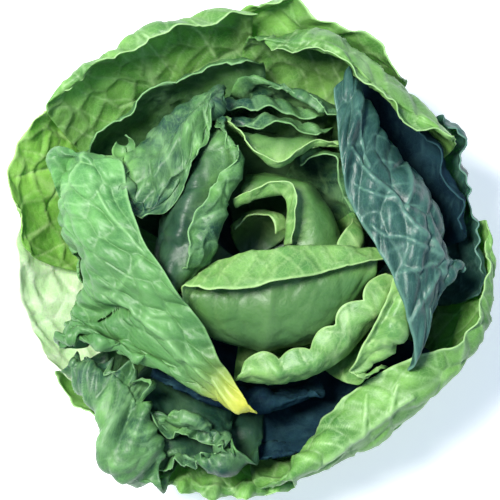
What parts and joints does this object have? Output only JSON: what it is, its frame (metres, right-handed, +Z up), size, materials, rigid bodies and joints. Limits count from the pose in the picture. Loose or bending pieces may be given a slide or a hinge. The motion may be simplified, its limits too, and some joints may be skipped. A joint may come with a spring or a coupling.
{
  "type": "lettuce head",
  "caption": "Loose butterhead lettuce: a cupped rosette of overlapping leaves round an open heart, standing on its cut stem.",
  "frame": {"origin": "centre of the stem's cut face, on the surface that the head stands on", "axes": "+Z up through the heart, +X towards the large blue-green blade, +Y towards the open far leaves"},
  "size_m": [0.2239, 0.2272, 0.1135],
  "materials": {
    "cut_stem": "matte",
    "heart_leaf": "waxy satin",
    "inner_leaf": "waxy satin",
    "bright_leaf": "waxy satin",
    "blue_green_leaf": "waxy satin",
    "outer_leaf": "waxy satin"
  },
  "bodies": {
    "root": {"stem": "cut_stem", "heart_tongue_leaf": "heart_leaf", "heart_left_leaf": "heart_leaf", "heart_rib_leaf": "heart_leaf", "heart_right_leaf": "heart_leaf", "heart_band_leaf": "heart_leaf", "far_scroll_leaf": "heart_leaf", "scalloped_leaf": "heart_leaf", "curled_leaf": "heart_leaf", "far_lobe_leaf": "inner_leaf", "left_lobe_leaf": "inner_leaf", "far_nested_leaf": "inner_leaf", "far_inner_band_leaf": "inner_leaf", "far_curl_leaf": "inner_leaf", "left_ruffled_leaf": "inner_leaf", "inner_near_leaf": "inner_leaf", "near_fold_leaf": "inner_leaf", "near_long_fold_leaf": "inner_leaf", "far_inner_wall_leaf": "inner_leaf", "right_inner_wall_leaf": "inner_leaf", "near_dark_wall_leaf": "inner_leaf", "left_blade": "bright_leaf", "low_left_leaf": "bright_leaf", "left_base_leaf": "bright_leaf", "right_blade": "blue_green_leaf", "right_dark_leaf": "blue_green_leaf", "far_right_shoulder": "blue_green_leaf", "far_right_band": "outer_leaf", "near_right_wrapper": "outer_leaf", "near_frill_leaf": "outer_leaf", "far_left_wrapper": "outer_leaf", "far_open_leaf": "outer_leaf", "far_left_open_leaf": "outer_leaf", "low_near_leaf": "outer_leaf", "low_right_leaf": "outer_leaf", "low_far_leaf": "outer_leaf", "low_far_right_leaf": "outer_leaf"}
  },
  "joints": []
}
